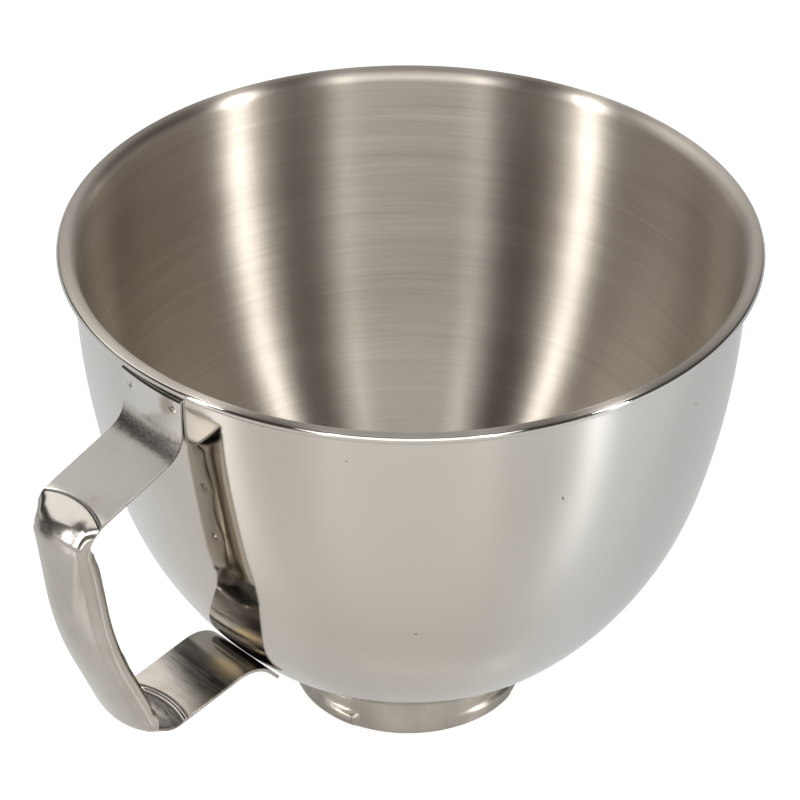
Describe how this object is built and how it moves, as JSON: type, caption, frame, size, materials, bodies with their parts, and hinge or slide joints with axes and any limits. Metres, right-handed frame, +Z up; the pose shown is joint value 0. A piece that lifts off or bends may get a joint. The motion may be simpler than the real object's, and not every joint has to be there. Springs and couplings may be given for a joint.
{
  "type": "stand mixer bowl",
  "caption": "Deep round polished steel mixing bowl with a beaded lip, a bayonet base ring and a rolled strap handle.",
  "frame": {"origin": "centre of the base ring at its bottom edge, on the bowl's axis", "axes": "+Z up along the bowl's axis, the handle points along -X"},
  "size_m": [0.2612, 0.225, 0.172],
  "materials": {
    "polished_steel": "mirror polished outside and on the rim, brushed round the axis inside",
    "satin_steel": "satin, turned",
    "strap_steel": "soft polish, with stretch marks at the bends"
  },
  "bodies": {
    "root": {"bowl": "polished_steel", "base_ring": "satin_steel", "handle": "strap_steel"}
  },
  "joints": []
}
